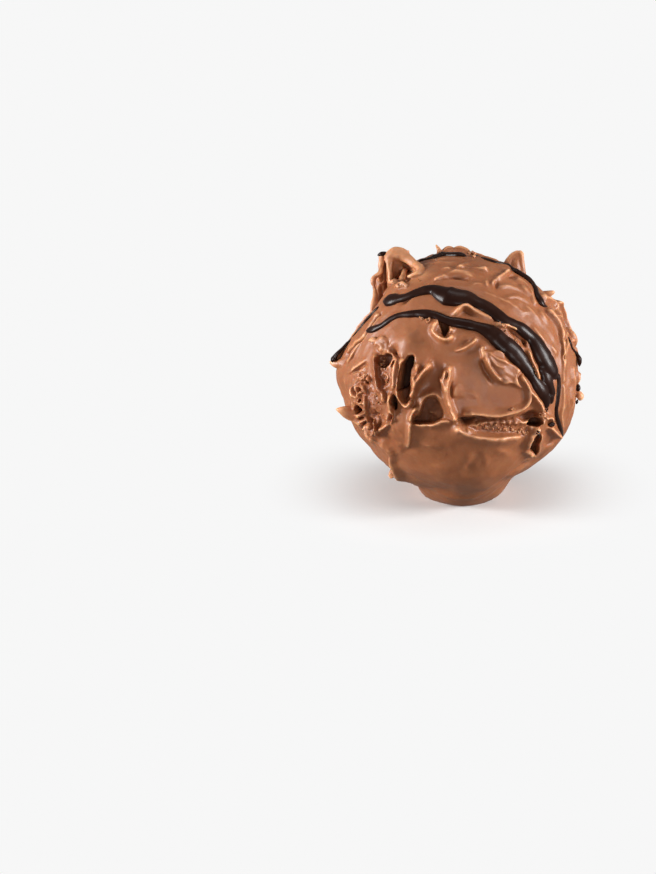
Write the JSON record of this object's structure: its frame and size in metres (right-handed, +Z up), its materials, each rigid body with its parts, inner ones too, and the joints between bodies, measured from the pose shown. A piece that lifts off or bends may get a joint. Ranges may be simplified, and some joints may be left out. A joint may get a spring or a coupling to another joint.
{
  "type": "chocolate truffle",
  "caption": "Hand-dipped chocolate truffle: a rough round ball coated in milk chocolate, with rows of thin dark chocolate drizzle, resting on a small flat foot.",
  "frame": {"origin": "centre of the flat foot it rests on", "axes": "+Z up out of the foot, -Y towards the side that faces the viewer, +X to the viewer's right"},
  "size_m": [0.0297, 0.0295, 0.0294],
  "materials": {
    "milk_chocolate": "satin",
    "dark_chocolate": "gloss"
  },
  "bodies": {
    "root": {"coated_ball": "milk_chocolate", "drizzle_front": "dark_chocolate", "drizzle_left": "dark_chocolate", "drizzle_crown": "dark_chocolate", "drizzle_back_upper": "dark_chocolate", "drizzle_back_lower": "dark_chocolate"}
  },
  "joints": []
}
